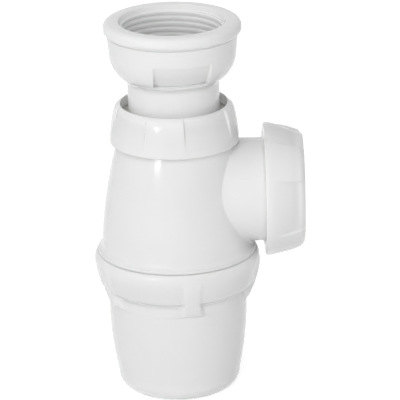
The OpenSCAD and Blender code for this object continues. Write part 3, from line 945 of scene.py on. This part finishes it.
class TRAP_OT_inlet(bpy.types.Operator):
    """Make the inlet head with its thread and grip hollows, and the dip tube"""

    bl_idname = "bottle_trap.inlet"
    bl_label = "Inlet"

    def execute(self, context):
        chosen = settings()
        minor, mouth = 19.475, 20.955
        barrel = RIM_RADIUS - 1.4
        bowl_top, bowl_r = HEAD_TOP - 11.9, 13.5
        thread_low = HEAD_TOP - 13.4
        rim_low, groove = HEAD_TOP - 4.8, GASKET_LOW
        centre = (barrel - 0.6 - bowl_r, bowl_top)
        fillet = 1.25
        low = np.degrees(np.arccos((TUBE_RADIUS + fillet - centre[0]) / bowl_r))
        bowl = arc(centre, bowl_r, -low, 0, 26)
        foot = bowl[0][1]
        hollow_low, hollow_high = bowl_top - 9.7, bowl_top + 1.3
        skin, lip, blend = TUBE_RADIUS + 0.25, 0.3, 0.9
        half_width, flare = chosen.grips.head_width / MM / 2, chosen.grips.head_flare / MM
        half_angle = asin(half_width / (centre[0] + sqrt(bowl_r ** 2 - 9.7 ** 2)))
        corners = (
            [(TUBE_BORE, TUBE_FOOT, 0.4), (TUBE_RADIUS, TUBE_FOOT, 0.4),
             (TUBE_RADIUS, foot - 2.9)]
            + flowing(between((TUBE_RADIUS, foot - 2.5), (TUBE_RADIUS + fillet, foot),
                              [(0, 0), (0.06, 0.3), (0.24, 0.56), (0.56, 0.82), (1, 1)]), 3)
            + bowl[1:]
            + [(barrel - 0.03, rim_low - 0.8, 0.2), (barrel - 0.6, rim_low - 0.45, 0.15),
               (barrel - 0.6, rim_low, 0.1), (RIM_RADIUS - 0.7, rim_low, 0.25),
               (RIM_RADIUS, rim_low + 1.1, 0.9)]
            + [(RIM_RADIUS - 2.8 * (1 - cos(a)), HEAD_TOP - 2.3 * (1 - sin(a)))
               for a in np.radians(np.linspace(0, 86, 10))]
            + [(mouth, HEAD_TOP, 0.6), (minor + 0.75, HEAD_TOP - 1.9, 0.5),
               (minor, HEAD_TOP - 2.3, 0.0), (minor, thread_low, 0.15),
               (20.175, thread_low, 0.1), (20.175, groove, 0.1), (16.7, groove, 0.2),
               (TUBE_BORE, foot, 0.5)])
        points = rounded(corners)
        points = finer(points, hollow_low - 0.1, hollow_low + 0.45, 0.06, skin + 0.6, minor + 3)
        points = finer(points, hollow_low + 0.45, hollow_high + 0.5, 0.7, minor + 2)
        points = finer(points, thread_low + 0.2, HEAD_TOP - 2.3, 0.22, minor - 0.01,
                       minor + 0.01)

        def carve(r, z):
            """What a hollow leaves: a slope from the tube's skin up to the barrel."""
            if z < hollow_low - lip or z > hollow_high or r < skin + 0.6:
                return r
            if z < hollow_low:
                over = 1 - (hollow_low - z) / lip
                return r - lip * (1 - sqrt(1 - over * over * 0.9))
            part = (z - hollow_low) / (hollow_high - hollow_low)
            deep = max(0.0, r - barrel + 0.6 + (barrel - 0.6 - skin) * (1 - part) ** 1.5)
            deep += 0.2 * smoother((hollow_low + 0.5 - z) / 0.3)
            deep *= smoother(deep / blend)
            start = smoother((z - hollow_low) / 0.15)
            return r - lip * 0.68 * (1 - start) - deep * start

        def spread(r, z):
            """How much wider than its angle at the foot a hollow is here."""
            part = (z - hollow_low) / (hollow_high - hollow_low)
            if not 0 <= part < 1.15 or r < skin + 0.6:
                return 1.0
            return asin(min(0.9, (half_width + flare * part) / r)) / half_angle

        thread = Thread(thread_low + 0.1, HEAD_TOP - 1.6, minor,
                        chosen.threads.inlet_depth / MM, chosen.threads.inlet_pitch / MM)
        grips = chosen.grips
        inlet = turned("inlet_moulding", points, body_plastic(), chosen.mesh.plain_columns,
                       hollow=(grips.head_hollows, 2 * half_angle, grips.head_first),
                       carve=carve, spread=spread, straight=1.0, flank=grips.head_flank,
                       threads=[thread])
        settle(inlet, "inlet_tube", "inlet", "white_plastic")
        return {"FINISHED"}


# The nuts

def grip_nut(name, foot_r, edge_r, hole_r, first, matrix):
    """A nut with its open end at the origin, its hole on top and hollows to grip it by."""
    chosen = settings()
    tall, stop = NUT_TOP - NUT_FOOT, 11.2
    top_r, round_r = NUT_RADIUS - 1.8, 2.0
    shoulder = [(top_r + 0.22, tall - 3.4), (top_r - 0.14, tall - 2.3),
                (top_r - 0.6, tall - 1.4), (top_r - 1.3, tall - 0.7), (top_r - 2.3, tall)]
    round_z = tall - round_r
    flat_r = top_r - round_r - 0.3
    low = 2.15
    grip = chosen.grips.nut_depth / MM
    depth, pitch = chosen.threads.depth / MM - 0.1, chosen.threads.fitting_pitch / MM
    corners = (
        [(NUT_BORE + 0.35, 0.0, 0.15), (foot_r, 0.0, edge_r)]
        + flowing(bow((foot_r, 0.6), (top_r, round_z), 0.25, 12)[2:-3] + shoulder, 3)
        + [(hole_r, tall, 0.35), (hole_r, stop, 0.15), (RING_ROOM, stop, 0.15),
           (RING_ROOM, 8.7, 0.0), (NUT_BORE, 8.45, 0.0), (NUT_BORE, 0.4, 0.15)])
    points = finer(rounded(corners), low - 0.4, tall, 0.6, hole_r + 0.6)
    points = finer(points, 0.7, 8.4, 0.3, NUT_BORE - 0.01, NUT_BORE + 0.01)

    def carve(r, z):
        """What a hollow leaves: a slope that deepens to the nut's top."""
        if r < NUT_BORE and z < stop + 0.3 or z <= low or r <= flat_r:
            return r
        rise = smoother((z - low) / (round_z - 1.0 - low))
        fall = 1 - 0.6 * smoother((z - round_z + 1.0) / 3.0)
        return max(flat_r + 0.02, r - grip * rise * fall)

    thread = Thread(0.9, 8.3, NUT_BORE, depth, pitch)
    return turned(name, points, nut_plastic(), chosen.mesh.hollow_columns,
                  hollow=(chosen.grips.nut_hollows, chosen.grips.nut_angle, first),
                  carve=carve, threads=[thread], matrix=matrix)


class TRAP_OT_nuts(bpy.types.Operator):
    """Make the compression nut and the outlet's nut"""

    bl_idname = "bottle_trap.nuts"
    bl_label = "Nuts"

    def execute(self, context):
        grips = settings().grips
        for name, node, foot_r, edge_r, hole_r, first, matrix, body in (
                ("tube_nut_moulding", "compression_nut", NUT_RADIUS, 0.45, 21.0,
                 grips.nut_first, raised(NUT_FOOT), "tube_nut"),
                ("outlet_nut_moulding", "outlet_nut", OUTLET_NUT_RADIUS, 1.1, 17.5,
                 grips.outlet_first, along_outlet(), "pipe_nut")):
            settle(grip_nut(name, foot_r, edge_r, hole_r, first, matrix), node, body,
                   "nut_plastic")
        return {"FINISHED"}


# Rings, seals and washers

class TRAP_OT_seals(bpy.types.Operator):
    """Make the slip rings, the cone seals, the cup's washer and the inlet's gasket"""

    bl_idname = "bottle_trap.seals"
    bl_label = "Rings and seals"

    def execute(self, context):
        columns = settings().mesh.small_columns

        def flat(outer, inner, low, high, edge=0.3):
            return rounded([(inner, low, edge), (outer, low, edge),
                            (outer, high, edge), (inner, high, edge)])

        def cone(bore):
            tip = SEAT_LOW_RADIUS + 0.17 * (SEAT_RADIUS - SEAT_LOW_RADIUS) - 0.2
            return rounded([
                (bore, SEAL_TIP, 0.2), (tip, SEAL_TIP, 0.2), (SEAT_RADIUS - 0.2, NECK_LENGTH, 0.2),
                (SEAT_RADIUS - 0.2, NECK_LENGTH + 0.3, 0.05), (SEAL_RADIUS, NECK_LENGTH + 0.3, 0.2),
                (SEAL_RADIUS, SEAL_HIGH, 0.3), (bore, SEAL_HIGH, 0.3)])

        for name, node, body, slot, material, points, matrix in (
                ("tube_ring_moulding", "tube_slip_ring", "tube_ring", "ring_plastic",
                 ring_plastic(), flat(RING_RADIUS, GUIDE_RADIUS, RING_LOW, RING_HIGH),
                 raised(NUT_FOOT)),
                ("outlet_ring_moulding", "outlet_slip_ring", "outlet_ring", "ring_plastic",
                 ring_plastic(), flat(RING_RADIUS, 16.4, RING_LOW, RING_HIGH), along_outlet()),
                ("tube_seal_rubber", "tube_cone_seal", "tube_seal", "rubber",
                 seal_rubber(), cone(18.0), raised(NUT_FOOT)),
                ("outlet_seal_rubber", "outlet_cone_seal", "body", "rubber",
                 seal_rubber(), cone(PIPE_GUIDE), along_outlet()),
                ("cup_washer_rubber", "cup_washer", "cup_washer_ring", "rubber",
                 seal_rubber(), flat(SKIRT_RADIUS, 25.8, WASHER_LOW, WASHER_HIGH), None),
                ("inlet_gasket_rubber", "inlet_gasket", "inlet", "rubber",
                 seal_rubber(), flat(GASKET_RADIUS, 16.7, GASKET_LOW, GASKET_HIGH), None)):
            settle(turned(name, points, material, columns, matrix=matrix), node, body, slot)
        return {"FINISHED"}


# The stage

# Each lamp: its name, its setting, its bearing from the camera's and its elevation in degrees,
# and its distance and width in metres.
LAMPS = (
    ("Key lamp", "key", -32, 13, 1.3, 0.24),
    ("Side lamp", "side", -75, 42, 1.2, 0.6),
    ("Fill lamp", "fill", 62, 22, 1.5, 0.9),
    ("Top lamp", "top", -100, 70, 1.2, 0.9),
    ("Front lamp", "front", -8, 30, 1.6, 1.2),
)


def lamp(name, bearing, elevation, distance, size, power, target):
    """A soft square lamp that faces the trap."""
    light = bpy.data.lights.new(name, "AREA")
    light.shape, light.size, light.energy = "SQUARE", size, power
    item = show(name, light)
    out = Vector((cos(elevation) * cos(bearing), cos(elevation) * sin(bearing), sin(elevation)))
    item.location = target + out * distance
    item.rotation_euler = out.to_track_quat("Z", "Y").to_euler()
    return item


class TRAP_OT_stage(bpy.types.Operator):
    """Set up the camera, the lamps, the sky and the floor"""

    bl_idname = "bottle_trap.stage"
    bl_label = "Stage"

    def execute(self, context):
        stage = settings().stage
        scene = context.scene
        target = Vector((0.0, 0.0, stage.aim_height))
        out = Vector((cos(stage.elevation) * cos(stage.bearing),
                      cos(stage.elevation) * sin(stage.bearing), sin(stage.elevation)))
        facing = out.to_track_quat("Z", "Y")
        right = facing @ Vector((1.0, 0.0, 0.0))
        camera = show("Camera", bpy.data.cameras.new("Camera"))
        camera.data.lens, camera.data.sensor_width = stage.lens, 36.0
        camera.data.clip_start, camera.data.clip_end = 0.1, 20.0
        camera.location = target + right * stage.aim_side + out * stage.distance
        roll = Matrix.Rotation(-stage.roll, 3, "Z")
        camera.rotation_euler = (facing.to_matrix() @ roll).to_euler()
        scene.camera = camera

        for name, power, bearing, elevation, distance, size in LAMPS:
            item = lamp(name, stage.bearing + radians(bearing), radians(elevation), distance,
                        size, getattr(stage, power), target)
            item.visible_glossy = power == "key"

        world = bpy.data.worlds.new("Studio")
        world.use_nodes = True
        world.node_tree.nodes.clear()
        graph = Graph(world.node_tree)
        seen = self.seen(graph)
        sky = graph.add("ShaderNodeBackground", None, {
            "Color": (1.0, 1.0, 1.0, 1.0), "Strength": seen * (1.0 - stage.sky) + stage.sky})
        output = graph.tree.nodes.new("ShaderNodeOutputWorld")
        graph.tree.links.new(sky.socket, output.inputs[0])
        scene.world = world

        if settings().show_floor:
            self.floor(stage)
        scene.view_settings.view_transform = "Standard"
        return {"FINISHED"}

    def seen(self, graph):
        """1 for what the camera sees, by itself or in a gloss or through glass, and 0 for light."""
        path = graph.add("ShaderNodeLightPath").socket.node
        camera, glossy, through = (
            Wire(graph, path.outputs[name]) for name in
            ("Is Camera Ray", "Is Glossy Ray", "Is Transmission Ray"))
        return camera.math("MAXIMUM", camera, camera.math("MAXIMUM", glossy, through))

    def floor(self, stage):
        """A pale floor that shows white and keeps the trap's shadow."""
        mesh = bpy.data.meshes.new("Floor")
        mesh.from_pydata([(-6, -6, 0), (6, -6, 0), (6, 6, 0), (-6, 6, 0)], [], [(0, 1, 2, 3)])
        material, graph = new_finish("Floor")
        plain = graph.add("ShaderNodeBsdfDiffuse", None, {"Color": (*stage.floor, 1.0)})
        glow = graph.add("ShaderNodeEmission", None, {"Color": (1.0, 1.0, 1.0, 1.0),
                                                      "Strength": self.seen(graph) * 0.6})
        shader = graph.add("ShaderNodeAddShader", None, {0: plain, 1: glow})
        finish_ends(graph, shader)
        mesh.materials.append(material)
        show("Floor", mesh)


class TRAP_PT_panel(bpy.types.Panel):
    """Lists the pieces of the trap and their settings"""

    bl_idname = "TRAP_PT_panel"
    bl_label = "Bottle trap"
    bl_space_type = "VIEW_3D"
    bl_region_type = "UI"
    bl_category = "Bottle trap"

    def draw(self, context):
        layout = self.layout
        for operator in OPERATORS:
            layout.operator(operator.bl_idname)
        for group in ("threads", "grips", "mesh", "finishes", "stage"):
            box = layout.box()
            box.label(text=group.capitalize())
            values = getattr(context.scene.bottle_trap, group)
            for name in values.bl_rna.properties.keys():
                if name not in ("rna_type", "name"):
                    box.prop(values, name)


OPERATORS = (TRAP_OT_stage, TRAP_OT_body, TRAP_OT_cup, TRAP_OT_inlet, TRAP_OT_nuts,
             TRAP_OT_seals)
CLASSES = (TRAP_PG_threads, TRAP_PG_grips, TRAP_PG_mesh, TRAP_PG_finishes, TRAP_PG_stage,
           TRAP_PG_settings, *OPERATORS, TRAP_PT_panel)


def register():
    for cls in CLASSES:
        bpy.utils.register_class(cls)
    bpy.types.Scene.bottle_trap = PointerProperty(type=TRAP_PG_settings)


def unregister():
    del bpy.types.Scene.bottle_trap
    for cls in reversed(CLASSES):
        bpy.utils.unregister_class(cls)


def main():
    register()
    bpy.ops.bottle_trap.stage()
    bpy.ops.bottle_trap.body()
    bpy.ops.bottle_trap.cup()
    bpy.ops.bottle_trap.inlet()
    bpy.ops.bottle_trap.nuts()
    bpy.ops.bottle_trap.seals()


if __name__ == "__main__":
    main()
